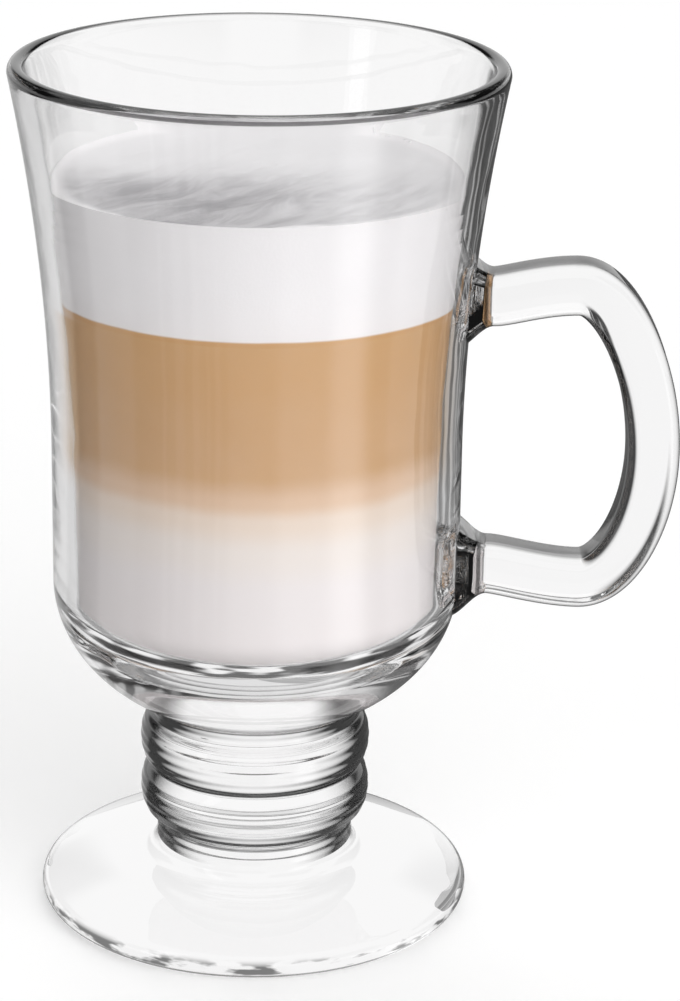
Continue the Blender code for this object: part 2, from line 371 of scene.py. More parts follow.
def inner_radius(z):
    """Inside of the bowl's wall: the glass thins evenly from the belly to the lip."""
    share = max(0.0, (z - BELLY_TOP) / (LIP_CENTRE - BELLY_TOP))
    return outer_radius(z) - WALL_THICKNESS - (LIP_THICKNESS - WALL_THICKNESS) * share


def sharp_outline(z):
    """Collar, rings, neck and belly, with sharp corners."""
    if z > BOWL_LOW[2]:
        down = (BELLY_TOP - z) / BELLY_DEPTH
        return BODY_RADIUS * math.sqrt(max(0.0, 1.0 - down * down))
    up = z - STEM_LOW[2] - COLLAR_HEIGHT
    if up < 0.0:
        return COLLAR_RADIUS
    pitch = RING_HEIGHT + GROOVE_WIDTH
    for index in range(RING_COUNT):
        off = (up - index * pitch) / RING_HEIGHT * 2.0 - 1.0
        if abs(off) < 1.0:
            return GROOVE_RADIUS + RING_BULGE * math.sqrt(1.0 - off * off)
    neck = RING_COUNT * pitch - GROOVE_WIDTH
    rest = STEM_HIGH[2] - STEM_LOW[2] - COLLAR_HEIGHT - neck
    share = min(1.0, max(0.0, (up - neck) / rest))
    return GROOVE_RADIUS + (NECK_RADIUS - GROOVE_RADIUS) * share


def soft_outline(z):
    """The same outline with the corners melted round, as hot glass leaves them."""
    total = weight = 0.0
    for step in range(-12, 13):
        amount = math.exp(-0.5 * (step / 4.0) ** 2)
        total += amount * sharp_outline(z + step / 4.0 * STEM_SOFTNESS)
        weight += amount
    return total / weight


def floor_outline(gap, count):
    """The bowl's floor from the axis out to the wall, drawn in by a gap."""
    half_width = inner_radius(BELLY_TOP) - gap
    depth = BELLY_TOP - BOWL_LOW[2] - FLOOR_THICKNESS - gap
    points = []
    for angle in spread(0.0, math.pi / 2.0, count):
        across = math.sin(angle) ** (2.0 / FLOOR_POWER)
        down = max(0.0, math.cos(angle)) ** (2.0 / FLOOR_POWER)
        points.append((half_width * across, BELLY_TOP - depth * down))
    return points


def bowl_outside(gap):
    """The bowl's outside from the lip down to the weld, drawn in by a gap."""
    tilt = lip_tilt()
    top = LIP_CENTRE - LIP_THICKNESS / 2.0 * math.sin(tilt)
    points = [(outer_radius(z) - gap, z) for z in spread(top, FLARE_START, 50)]
    points += [(BODY_RADIUS - gap, z) for z in spread(FLARE_START, BELLY_TOP, 12)[1:]]
    down = BELLY_TOP - UPPER_WELD
    for share in spread(0.0, 1.0, 80)[1:]:
        z = BELLY_TOP - down * math.sin(share * math.pi / 2.0)
        points.append((soft_outline(z) - gap, z))
    return points


def lip_tilt():
    """Angle of the wall from upright at the lip."""
    small = 0.0001
    return math.atan((outer_radius(LIP_CENTRE) - outer_radius(LIP_CENTRE - small)) / small)


def bowl_profile():
    """Floor, inner wall, round lip, outer wall, belly and weld face."""
    tilt = lip_tilt()
    radius = LIP_THICKNESS / 2.0 * math.cos(tilt)
    middle = (outer_radius(LIP_CENTRE) - LIP_THICKNESS / 2.0, LIP_CENTRE)
    inner = [(inner_radius(z), z) for z in spread(BELLY_TOP, FLARE_START, 12)[1:]]
    inner += [(inner_radius(z), z) for z in spread(FLARE_START, LIP_CENTRE, 50)[1:]]
    degrees = math.degrees(tilt)
    lip = arc(middle, radius, 180.0 - degrees, -degrees, 22)
    return floor_outline(0.0, 56) + inner + lip[1:-1] + bowl_outside(0.0) + [(0.0, UPPER_WELD)]


def stem_profile():
    """Neck, rings and collar, from the top down, with the faint ribs that pressing leaves."""
    side = []
    for z in spread(UPPER_WELD, LOWER_WELD, 300):
        ends = min(1.0, (UPPER_WELD - z) / PRESS_MARK_PITCH, (z - LOWER_WELD) / PRESS_MARK_PITCH)
        mark = PRESS_MARK_HEIGHT * (math.cos(2.0 * math.pi * z / PRESS_MARK_PITCH) - 1.0)
        side.append((soft_outline(z) + mark * ends, z))
    return [(0.0, UPPER_WELD)] + side + [(0.0, LOWER_WELD)]


def foot_profile():
    """Weld face, fillet, crown, round edge and flat underside."""
    fillet_centre = (COLLAR_RADIUS + FOOT_FILLET, FOOT_HIGH[2])
    edge_centre = (FOOT_RADIUS - FOOT_EDGE_RADIUS, FOOT_EDGE_RADIUS)
    edge = arc(edge_centre, FOOT_EDGE_RADIUS, FOOT_EDGE_TOP, -90.0, 30)
    fillet = arc(fillet_centre, FOOT_FILLET, 180.0, 270.0, 18)
    inside, outside = fillet[-1], edge[0]
    crown = []
    for share in spread(0.0, 1.0, 40)[1:-1]:
        drop = (inside[1] - outside[1]) * (1.0 - math.cos(share * math.pi / 2.0))
        crown.append((inside[0] + (outside[0] - inside[0]) * share, inside[1] - drop))
    top = [(0.0, LOWER_WELD), (COLLAR_RADIUS, LOWER_WELD)]
    return top + fillet + crown + edge + [(SEAT_RADIUS, 0.0), (0.0, 0.0)]


def drink_radius(z):
    """Side of the drink above the floor."""
    return inner_radius(z) - DRINK_GAP


def layer_profile(bottom, top, rings, rows):
    """A layer of the drink: its top from the axis outwards, its side, and its underside."""
    edge = drink_radius(top)
    across = [(edge * share, top) for share in spread(0.0, 1.0, rings)]
    side = [(drink_radius(z), z) for z in spread(top, bottom, rows)[1:]]
    return across + side + [(0.0, bottom)]


def milk_profile():
    """The lowest layer, with the floor's round underside."""
    top = layer_profile(BELLY_TOP, MILK_LINE, 3, 24)[:-1]
    return top + floor_outline(DRINK_GAP, 70)[-2::-1]


# Geometry Nodes: turned solids, swept bars and scattered bubbles


def new_group(name, inputs, output):
    """An empty Geometry Nodes group with named inputs and one geometry output."""
    group = bpy.data.node_groups.new(name, "GeometryNodeTree")
    for label, kind in inputs:
        group.interface.new_socket(label, in_out="INPUT", socket_type=kind)
    group.interface.new_socket(output, in_out="OUTPUT", socket_type="NodeSocketGeometry")
    start = group.nodes.new("NodeGroupInput")
    end = group.nodes.new("NodeGroupOutput")
    return group, start.outputs, end.inputs[0]


def close_group(group, mesh, material, end):
    """Smooth shading, real geometry and the material, at the end of every group."""
    smooth = group.nodes.new("GeometryNodeSetShadeSmooth")
    real = group.nodes.new("GeometryNodeRealizeInstances")
    paint = group.nodes.new("GeometryNodeSetMaterial")
    feed(group, smooth.inputs["Geometry"], mesh)
    feed(group, real.inputs["Geometry"], smooth.outputs[0])
    feed(group, paint.inputs["Geometry"], real.outputs[0])
    feed(group, paint.inputs["Material"], material)
    feed(group, end, paint.outputs[0])


def lathe_group():
    """Turns the points of a profile about the Z axis."""
    group, start, end = new_group(
        "lathe",
        (
            ("Profile", "NodeSocketGeometry"),
            ("Steps", "NodeSocketInt"),
            ("Material", "NodeSocketMaterial"),
        ),
        "Turned",
    )
    nodes = group.nodes
    size = nodes.new("GeometryNodeAttributeDomainSize")
    feed(group, size.inputs[0], start["Profile"])
    columns = calc(group, "ADD", start["Steps"], 1.0)
    grid = nodes.new("GeometryNodeMeshGrid")
    feed(group, grid.inputs["Vertices X"], size.outputs["Point Count"])
    feed(group, grid.inputs["Vertices Y"], columns)
    index = nodes.new("GeometryNodeInputIndex").outputs[0]
    row = calc(group, "FLOOR", calc(group, "DIVIDE", calc(group, "ADD", index, 0.5), columns))
    column = calc(group, "SUBTRACT", index, calc(group, "MULTIPLY", row, columns))
    pick = nodes.new("GeometryNodeSampleIndex")
    pick.data_type = "FLOAT_VECTOR"
    feed(group, pick.inputs["Geometry"], start["Profile"])
    feed(group, pick.inputs["Value"], nodes.new("GeometryNodeInputPosition").outputs[0])
    feed(group, pick.inputs["Index"], row)
    point = split(group, pick.outputs["Value"])
    angle = calc(group, "DIVIDE", calc(group, "MULTIPLY", column, 2.0 * math.pi), start["Steps"])
    place = nodes.new("ShaderNodeCombineXYZ")
    for axis, wave in (("X", "COSINE"), ("Y", "SINE")):
        feed(group, place.inputs[axis], calc(group, "MULTIPLY", point["X"], calc(group, wave, angle)))
    feed(group, place.inputs["Z"], point["Z"])
    move = nodes.new("GeometryNodeSetPosition")
    feed(group, move.inputs["Geometry"], grid.outputs["Mesh"])
    feed(group, move.inputs["Position"], place.outputs[0])
    merge = nodes.new("GeometryNodeMergeByDistance")
    feed(group, merge.inputs["Geometry"], move.outputs[0])
    merge.inputs["Distance"].default_value = 0.000001
    close_group(group, merge.outputs[0], start["Material"], end)
    return group


def bar_group():
    """Sweeps a rectangle with round corners along a path."""
    group, start, end = new_group(
        "swept_bar",
        (
            ("Path", "NodeSocketGeometry"),
            ("Width", "NodeSocketFloat"),
            ("Thickness", "NodeSocketFloat"),
            ("Edge Radius", "NodeSocketFloat"),
            ("Material", "NodeSocketMaterial"),
        ),
        "Bar",
    )
    nodes = group.nodes
    path = nodes.new("GeometryNodeMeshToCurve")
    feed(group, path.inputs["Mesh"], start["Path"])
    lie = nodes.new("GeometryNodeSetCurveNormal")
    lie.mode = "FREE"
    feed(group, lie.inputs["Curve"], path.outputs[0])
    lie.inputs["Normal"].default_value = (0.0, 1.0, 0.0)
    flare = nodes.new("GeometryNodeInputNamedAttribute")
    flare.data_type = "FLOAT"
    flare.inputs["Name"].default_value = "flare"
    frame_shape = nodes.new("GeometryNodeCurvePrimitiveQuadrilateral")
    feed(group, frame_shape.inputs["Width"], start["Thickness"])
    feed(group, frame_shape.inputs["Height"], start["Width"])
    corners = nodes.new("GeometryNodeFilletCurve")
    corners.mode = "POLY"
    feed(group, corners.inputs["Curve"], frame_shape.outputs[0])
    corners.inputs["Count"].default_value = 10
    feed(group, corners.inputs["Radius"], start["Edge Radius"])
    sweep = nodes.new("GeometryNodeCurveToMesh")
    feed(group, sweep.inputs["Curve"], lie.outputs[0])
    feed(group, sweep.inputs["Profile Curve"], corners.outputs[0])
    feed(group, sweep.inputs["Scale"], flare.outputs["Attribute"])
    sweep.inputs["Fill Caps"].default_value = True
    close_group(group, sweep.outputs[0], start["Material"], end)
    return group


def bubble_group():
    """Small spheres of mixed sizes on a row of points."""
    group, start, end = new_group(
        "bubbles",
        (
            ("Points", "NodeSocketGeometry"),
            ("Smallest", "NodeSocketFloat"),
            ("Largest", "NodeSocketFloat"),
            ("Material", "NodeSocketMaterial"),
        ),
        "Bubbles",
    )
    nodes = group.nodes
    ball = nodes.new("GeometryNodeMeshIcoSphere")
    ball.inputs["Radius"].default_value = 1.0
    ball.inputs["Subdivisions"].default_value = 3
    radius = nodes.new("FunctionNodeRandomValue")
    radius.data_type = "FLOAT"
    limits = [socket for socket in radius.inputs if socket.enabled]
    feed(group, limits[0], start["Smallest"])
    feed(group, limits[1], start["Largest"])
    radius.inputs["Seed"].default_value = 12
    spot = nodes.new("GeometryNodeInstanceOnPoints")
    feed(group, spot.inputs["Points"], start["Points"])
    feed(group, spot.inputs["Instance"], ball.outputs["Mesh"])
    feed(group, spot.inputs["Scale"], [s for s in radius.outputs if s.enabled][0])
    close_group(group, spot.outputs[0], start["Material"], end)
    return group


# Materials


def new_material(name):
    """A Principled material with its tree and shader."""
    material = bpy.data.materials.new(name)
    material.use_nodes = True
    tree = material.node_tree
    return material, tree, tree.nodes["Principled BSDF"]


def shader_group(name, inputs, outputs):
    """An empty shader group with named inputs and outputs that reads object coordinates."""
    group = bpy.data.node_groups.new(name, "ShaderNodeTree")
    for label in inputs:
        group.interface.new_socket(label, in_out="INPUT", socket_type="NodeSocketFloat")
    for label, kind in outputs:
        group.interface.new_socket(label, in_out="OUTPUT", socket_type=kind)
    start = group.nodes.new("NodeGroupInput")
    end = group.nodes.new("NodeGroupOutput")
    place = group.nodes.new("ShaderNodeTexCoord").outputs["Object"]
    return group, place, start.outputs, end.inputs


def noise_at(tree, place, scale, detail=2.0, roughness=0.5, distortion=0.0):
    """Noise in object space."""
    made = tree.nodes.new("ShaderNodeTexNoise")
    feed(tree, made.inputs["Vector"], place)
    feed(tree, made.inputs["Scale"], scale)
    made.inputs["Detail"].default_value = detail
    made.inputs["Roughness"].default_value = roughness
    made.inputs["Distortion"].default_value = distortion
    return made.outputs["Fac"]


def mix_colours(tree, factor, first, last):
    """A colour between two others."""
    made = tree.nodes.new("ShaderNodeMix")
    made.data_type = "RGBA"
    feed(tree, made.inputs["Factor"], factor)
    for socket, source in zip([s for s in made.inputs if s.type == "RGBA"], (first, last)):
        feed(tree, socket, source)
    return [s for s in made.outputs if s.type == "RGBA"][0]


def use_group(tree, group, values):
    """A group node in a tree, with this material's own values."""
    made = tree.nodes.new("ShaderNodeGroup")
    made.node_tree = group
    set_values(made, values)
    return made.outputs


def ripple_group():
    """The slow waves of pressed glass, as a normal."""
    group, place, start, end = shader_group(
        "glass_ripple",
        ("Slow Scale", "Quick Scale", "Depth"),
        (("Normal", "NodeSocketVector"),),
    )
    slow = noise_at(group, place, start["Slow Scale"], 1.0)
    quick = noise_at(group, place, start["Quick Scale"], 0.0)
    bump = group.nodes.new("ShaderNodeBump")
    bump.inputs["Strength"].default_value = 0.25
    feed(group, bump.inputs["Distance"], start["Depth"])
    feed(group, bump.inputs["Height"], calc(group, "ADD", slow, quick))
    feed(group, end["Normal"], bump.outputs["Normal"])
    return group


def layers_group():
    """Milk below, coffee above, and the soft cloud between them, by height."""
    group, place, start, end = shader_group(
        "drink_layers",
        ("Drift", "Drift Scale", "Mottle", "Mottle Scale"),
        (("Color", "NodeSocketColor"),),
    )
    drift = calc(group, "SUBTRACT", noise_at(group, place, start["Drift Scale"], 3.0), 0.5)
    drift = calc(group, "MULTIPLY", drift, start["Drift"])
    share = group.nodes.new("ShaderNodeMapRange")
    feed(group, share.inputs["Value"], calc(group, "ADD", split(group, place)["Z"], drift))
    set_values(share, {"From Min": LAYER_RANGE[0], "From Max": LAYER_RANGE[1]})
    ramp = group.nodes.new("ShaderNodeValToRGB")
    feed(group, ramp.inputs["Fac"], share.outputs["Result"])
    ramp.color_ramp.interpolation = "EASE"
    while len(ramp.color_ramp.elements) < len(LAYER_COLOURS):
        ramp.color_ramp.elements.new(0.5)
    for element, (where, colour) in zip(ramp.color_ramp.elements, LAYER_COLOURS):
        element.position = where
        element.color = colour
    specks = noise_at(group, place, start["Mottle Scale"], 2.0)
    specks = calc(group, "MULTIPLY", specks, start["Mottle"])
    feed(group, end["Color"], mix_colours(group, specks, ramp.outputs["Color"], SPECK_COLOUR))
    return group


def clear_tint(tone):
    """The faintly warm white of clear glass; a low tone gives the lip's painted shade in dark grey."""
    return (tone, tone - 0.003, tone - 0.002, 1.0)


def grey(tone):
    """A neutral colour."""
    return (tone, tone, tone, 1.0)


def set_glass(shader, index):
    """Makes a shader smooth and clear."""
    set_values(shader, {"Metallic": 0.0, "Roughness": 0.0, "IOR": index, "Transmission Weight": 1.0})


def facing_away(tree):
    """How far a face turns from the ray that meets it, from zero to one."""
    return tree.nodes.new("ShaderNodeLayerWeight").outputs["Facing"]


def glass_material(name, ripple, waves, edge, tone=GLASS_TONE, index=GLASS_INDEX):
    """Clear soda-lime glass with painted shade: its colour darkens towards its edges."""
    material, tree, shader = new_material(name)
    start, end, edge_shade_tone = edge
    mask = smooth_range(tree, facing_away(tree), start, end)
    feed(tree, shader.inputs["Base Color"], mix_colours(tree, mask, clear_tint(tone), grey(edge_shade_tone)))
    set_glass(shader, index)
    feed(tree, shader.inputs["Normal"], use_group(tree, ripple, waves)["Normal"])
    return material


def paint_light_tint(material, mask, colour):
    """Changes a glass material's clear tint to a colour where a mask says so, to paint shade and
    reflections into the glass.
    """
    tree = material.node_tree
    tint = tree.nodes["Principled BSDF"].inputs["Base Color"]
    feed(tree, tint, mix_colours(tree, mask, tint.links[0].from_socket, colour))


def paint_bar_shade(material):
    """Paints shade on the handle's roots and on the side turned to the fingers."""
    tree = material.node_tree
    coordinates = tree.nodes.new("ShaderNodeTexCoord").outputs
    spot = split(tree, coordinates["Object"])
    paint_light_tint(material, smooth_range(tree, spot["X"], *ROOT_SHADE, 1.0, 0.0), grey(ROOT_SHADE_TONE))
    paint_light_tint(material, between(tree, spot["X"], *ROOT_LINE), grey(ROOT_LINE_TONE))
    turned_to = split(tree, coordinates["Normal"])
    inner = smooth_range(tree, turned_to["X"], *FINGER_SIDE, 1.0, 0.0)
    inner = calc(tree, "MULTIPLY", inner, smooth_range(tree, spot["X"], *FINGER_START))
    slant = smooth_range(tree, facing_away(tree), *FINGER_SLANT)
    corner = smooth_range(tree, calc(tree, "ABSOLUTE", turned_to["Y"]), *FINGER_CORNER)
    inner = calc(tree, "MULTIPLY", inner, calc(tree, "MAXIMUM", slant, corner))
    paint_light_tint(material, inner, grey(FINGER_SHADE_TONE))


def paint_coffee_reflection(material):
    """Painted reflection: gives the light that the wet wall mirrors the coffee's colour, most beside
    the drink.
    """
    tree = material.node_tree
    height = split(tree, tree.nodes.new("ShaderNodeTexCoord").outputs["Object"])["Z"]
    level = smooth_range(tree, height, *REFLECTION_BELOW)
    level = calc(tree, "MULTIPLY", level, smooth_range(tree, height, *REFLECTION_ABOVE, 1.0, 0.0))
    slant = facing_away(tree)
    beside = smooth_range(tree, slant, *REFLECTION_SLANT_START)
    beside = calc(tree, "MULTIPLY", beside, smooth_range(tree, slant, *REFLECTION_SLANT_END, 1.0, 0.0))
    rays = tree.nodes.new("ShaderNodeLightPath").outputs
    mirrored = calc(tree, "GREATER_THAN", rays["Glossy Depth"], 0.5)
    mask = calc(tree, "MULTIPLY", mirrored, calc(tree, "MULTIPLY", level, beside))
    paint_light_tint(material, mask, COFFEE_REFLECTION_COLOUR)


def paint_foot_edge_shade(material):
    """Paints shade around the foot's round edge: a fine dark line and broken dark marks."""
    tree = material.node_tree
    place = tree.nodes.new("ShaderNodeTexCoord").outputs["Object"]
    height = split(tree, place)["Z"]
    flat = tree.nodes.new("ShaderNodeMapping")
    feed(tree, flat.inputs["Vector"], place)
    flat.inputs["Scale"].default_value = (1.0, 1.0, MARK_FLATNESS)
    marks = smooth_range(tree, noise_at(tree, flat.outputs["Vector"], MARK_SCALE, 3.0), *MARK_RANGE)
    marks = calc(tree, "MULTIPLY", marks, between(tree, height, *MARK_BELT))
    line = calc(tree, "MULTIPLY", between(tree, height, *EDGE_LINE_BELT), EDGE_LINE_STRENGTH)
    paint_light_tint(material, calc(tree, "MAXIMUM", marks, line), grey(MARK_SHADE_TONE))


def seat_material():
    """The foot's underside, so close to the table that it shows no mirror image."""
    material, _, shader = new_material("seat_glass")
    shader.inputs["Base Color"].default_value = clear_tint(GLASS_TONE)
    set_glass(shader, 1.0)
    return material


def weld_material():
    """No surface at all: fused glass goes on without a break."""
    material, _, shader = new_material("weld")
    set_values(shader, {"Base Color": WHITE, "Alpha": 0.0})
    return material


def drink_material(name, layers, cloud):
    """An opaque layer of the drink."""
    material, tree, shader = new_material(name)
    feed(tree, shader.inputs["Base Color"], use_group(tree, layers, cloud)["Color"])
    set_values(shader, {"Metallic": 0.0, "Roughness": 0.6, "Specular IOR Level": 0.15})
    return material


def painted_shade_mask(tree, place, spot):
    """Painted shade: long grey strokes over the near half of the foam, strongest left of the middle."""
    drawn_out = tree.nodes.new("ShaderNodeMapping")
    drawn_out.vector_type = "TEXTURE"
    feed(tree, drawn_out.inputs["Vector"], place)
    set_values(drawn_out, {"Rotation": (0.0, 0.0, STROKE_TURN), "Scale": STROKE_STRETCH})
    strokes = noise_at(tree, drawn_out.outputs["Vector"], 130.0, 5.0, 0.66, 1.2)
    strokes = smooth_range(tree, strokes, *STROKE_TONES)
    wander = calc(tree, "MULTIPLY", noise_at(tree, place, 40.0, 2.0), SHADE_WANDER)
    border = calc(tree, "ADD", spot["Y"], wander)
    near = calc(tree, "MULTIPLY", strokes, smooth_range(tree, border, *SHADE_BORDER, 1.0, 0.0))
    off = calc(tree, "ABSOLUTE", calc(tree, "SUBTRACT", spot["X"], SHADE_MIDDLE))
    return calc(tree, "MULTIPLY", near, smooth_range(tree, off, *SHADE_FADE))


def foam_top_mask(tree, spot):
    """The foam's top without its outermost edge."""
    edge = drink_radius(FOAM_TOP)
    start, end = edge - TOP_MARGIN[0], edge - TOP_MARGIN[1]
    inside = smooth_range(tree, off_axis(tree, spot), start, end, 1.0, 0.0)
    return calc(tree, "MULTIPLY", inside, calc(tree, "GREATER_THAN", spot["Z"], FOAM_TOP - TOP_DEPTH))


def foam_material():
    """Fine milk foam with a grain of tiny bubbles, and painted grey shade on the near half of its top.
    """
    material, tree, shader = new_material("foam")
    place = tree.nodes.new("ShaderNodeTexCoord").outputs["Object"]
    spot = split(tree, place)
    white = mix_colours(tree, noise_at(tree, place, 120.0, 3.0), FOAM_DARKER, FOAM_LIGHTER)
    creep = calc(tree, "MULTIPLY", noise_at(tree, place, 70.0, 2.0), COFFEE_CREEP)
    creep = calc(tree, "SUBTRACT", spot["Z"], creep)
    coffee_line = smooth_range(tree, creep, *COFFEE_LINE, 1.0, 0.0)
    white = mix_colours(tree, coffee_line, white, COFFEE_COLOUR)
    top = foam_top_mask(tree, spot)
    # Painted shade: the top a tone greyer than the sides
    white = mix_colours(tree, top, white, FOAM_TOP_COLOUR)
    # Painted shade: grey strokes on the near half of the top
    shaded = mix_colours(tree, painted_shade_mask(tree, place, spot), white, PAINTED_SHADE_COLOUR)
    feed(tree, shader.inputs["Base Color"], mix_colours(tree, top, white, shaded))
    grain = tree.nodes.new("ShaderNodeBump")
    set_values(grain, {"Strength": 0.15, "Distance": 0.0002})
    feed(tree, grain.inputs["Height"], noise_at(tree, place, 2200.0, 2.0))
    feed(tree, shader.inputs["Normal"], grain.outputs["Normal"])
    set_values(shader, {"Metallic": 0.0, "Roughness": 0.7, "Specular IOR Level": 0.15})
    return material


def bubble_material():
    """The skin of a larger bubble in the foam: glossy, with painted shade that darkens it towards the
    bottom.
    """
    material, tree, shader = new_material("foam_bubble")
    height = split(tree, tree.nodes.new("ShaderNodeTexCoord").outputs["Object"])["Z"]
    shade = smooth_range(tree, height, FOAM_TOP - 2.0 * BUBBLE_LARGEST, FOAM_TOP)
    tint = mix_colours(tree, shade, BUBBLE_LOW_COLOUR, BUBBLE_HIGH_COLOUR)
    feed(tree, shader.inputs["Base Color"], tint)
    set_values(shader, {"Metallic": 0.0, "Roughness": 0.12})
    return material


# Pieces


def host(name, points, edges=False):
    """An object whose mesh is a row of points."""
    mesh = bpy.data.meshes.new(name)
    links = [(i, i + 1) for i in range(len(points) - 1)] if edges else []
    mesh.from_pydata(points, links, [])
    piece = bpy.data.objects.new(name, mesh)
    scene.collection.objects.link(piece)
    return piece


def turned(name, profile, lathe, material):
    """A solid of revolution made by the lathe group."""
    piece = host(name, [(x, 0.0, z) for x, z in profile])
    modifier = piece.modifiers.new("lathe", "NODES")
    modifier.node_group = lathe
    set_input(modifier, "Steps", TURN_STEPS)
    set_input(modifier, "Material", material)
    return plain(piece)


def uneven_seat(piece):
    """Moves the line where the foot's underside leaves the table in and out around the edge."""
    for vertex in piece.data.vertices:
        x, y, z = vertex.co
        if abs(z) < 1e-7 and abs(math.hypot(x, y) - SEAT_RADIUS) < 1e-6:
            place = Vector((x / SEAT_RADIUS * SEAT_WAVES, y / SEAT_RADIUS * SEAT_WAVES, 4.0))
            wander = 0.40 + 1.6 * noise.noise(place)
            share = 1.0 - SEAT_WANDER / SEAT_RADIUS * min(1.0, max(0.0, wander))
            vertex.co = (x * share, y * share, z)


def paint_level(piece, material, heights, reach=1.0):
    """Gives level faces at some heights, with their middle inside a radius, their own material."""
    mesh = piece.data
    mesh.materials.append(material)
    for face in mesh.polygons:
        level = any(abs(face.center.z - height) < 1e-6 for height in heights)
        if level and math.hypot(face.center.x, face.center.y) < reach:
            face.material_index = len(mesh.materials) - 1


def paint_lip(piece, material, angles):
    """Gives a strip of the lip its own material, by degrees up from its outside."""
    mesh = piece.data
    mesh.materials.append(material)
    for face in mesh.polygons:
        out = math.hypot(face.center.x, face.center.y) - MOUTH_RADIUS + LIP_THICKNESS / 2.0
        up = face.center.z - LIP_CENTRE
        if up > 0.0 and angles[0] < math.degrees(math.atan2(up, out)) < angles[1]:
            face.material_index = len(mesh.materials) - 1


def paint_wet(piece, material, bottom, top):
    """Gives a belt of the bowl's inside its own material."""
    mesh = piece.data
    mesh.materials.append(material)
    for face in mesh.polygons:
        z = face.center.z
        inside = math.hypot(face.center.x, face.center.y) < inner_radius(max(z, BELLY_TOP)) + 0.0003
        if inside and bottom < z < top:
            face.material_index = len(mesh.materials) - 1


def wet_inside(piece, ripple, waves):
    """Bends light less where the drink wets the wall, and fades that out below the foam's edge."""
    depths = [depth for depth, _ in WET_STEPS] + [WET_END]
    for (depth, index), next_depth in zip(WET_STEPS, depths[1:]):
        material = glass_material("wet_glass", ripple, waves, PLAIN_EDGE, index=index)
        bottom = max(FOAM_TOP - depth, BOWL_LOW[2] + FLOOR_THICKNESS - 0.0001)
        paint_wet(piece, material, bottom, FOAM_TOP - next_depth)


def boolean(piece, cutter):
    """Cuts one solid out of another, and the cut faces keep the cutter's material."""
    cut = piece.modifiers.new("cut", "BOOLEAN")
    cut.operation = "DIFFERENCE"
    cut.solver = "EXACT"
    cut.material_mode = "TRANSFER"
    cut.object = cutter
    return plain(piece)


def handle_path():
    """Points of the handle's centre line with the bar's widening at each."""
    step = (HANDLE_NECK - HANDLE_ROOT) / 3.0
    knots = (
        ((HANDLE_ROOT, HANDLE_UPPER), (-step, 0.0), (step, 0.0), HANDLE_ROOT_FLARE),
        ((HANDLE_NECK, HANDLE_UPPER), (-step, 0.0), (step, 0.0), 1.0),
        (UPPER_SHOULDER, (-HANDLE_TURN, 0.0), (HANDLE_TURN, 0.0), 1.0),
        ((HANDLE_REACH, HANDLE_CREST), (0.0, CREST_PULL[0]), (0.0, CREST_PULL[1]), 1.0),
        (LOWER_SHOULDER, (HANDLE_TURN, 0.0), (-HANDLE_TURN, 0.0), 1.0),
        ((HANDLE_NECK, HANDLE_LOWER), (step, 0.0), (-step, 0.0), 1.0),
        ((HANDLE_ROOT, HANDLE_LOWER), (step, 0.0), (-step, 0.0), HANDLE_ROOT_FLARE),
    )
    points, widths = [], []
    for (start, _, after, wide), (end, before, _, next_wide) in zip(knots, knots[1:]):
        leave = (start[0] + after[0], start[1] + after[1])
        arrive = (end[0] + before[0], end[1] + before[1])
        corners = [Vector((x, 0.0, z)) for x, z in (start, leave, arrive, end)]
        for index, point in enumerate(geometry.interpolate_bezier(*corners, CURVE_STEPS + 1)):
            if points and index == 0:
                continue
            share = index / CURVE_STEPS
            points.append(point + Vector((BODY_RADIUS, 0.0, BELLY_TOP)))
            widths.append(wide + (next_wide - wide) * share * share * (3.0 - 2.0 * share))
    return points, widths


def handle_bar(group, material):
    """The handle's bar, with its ends still inside the wall."""
    points, widths = handle_path()
    piece = host("handle", points, edges=True)
    flare = piece.data.attributes.new("flare", "FLOAT", "POINT")
    flare.data.foreach_set("value", widths)
    modifier = piece.modifiers.new("bar", "NODES")
    modifier.node_group = group
    set_input(modifier, "Width", HANDLE_WIDTH)
    set_input(modifier, "Thickness", HANDLE_THICKNESS)
    set_input(modifier, "Edge Radius", HANDLE_EDGE_RADIUS)
    set_input(modifier, "Material", material)
    return plain(piece)


def bubble_rows():
    """Places of the bubbles that cling to the glass at the foam's edge, by angle and depth."""
    points = []
    for first, last, count in BUBBLE_RUNS:
        for index, angle in enumerate(spread(math.radians(first), math.radians(last), count)):
            shake = noise.noise(Vector((index * 1.7, angle * 9.0, 0.5)))
            out = drink_radius(FOAM_TOP) - BUBBLE_LARGEST - 0.0004 * abs(shake)
            turn = angle + 0.02 * shake
            points.append((out * math.cos(turn), out * math.sin(turn), FOAM_TOP - BUBBLE_LARGEST))
    return points


def bubbles(group, material):
    """The bubbles as one mesh."""
    piece = host("bubbles", bubble_rows())
    modifier = piece.modifiers.new("bubbles", "NODES")
    modifier.node_group = group
    set_input(modifier, "Smallest", BUBBLE_SMALLEST)
    set_input(modifier, "Largest", BUBBLE_LARGEST)
    set_input(modifier, "Material", material)
    return plain(piece)


def join(piece, extra):
    """Adds the mesh of one object to another."""
    with bpy.context.temp_override(active_object=piece, selected_editable_objects=[piece, extra]):
        bpy.ops.object.join()


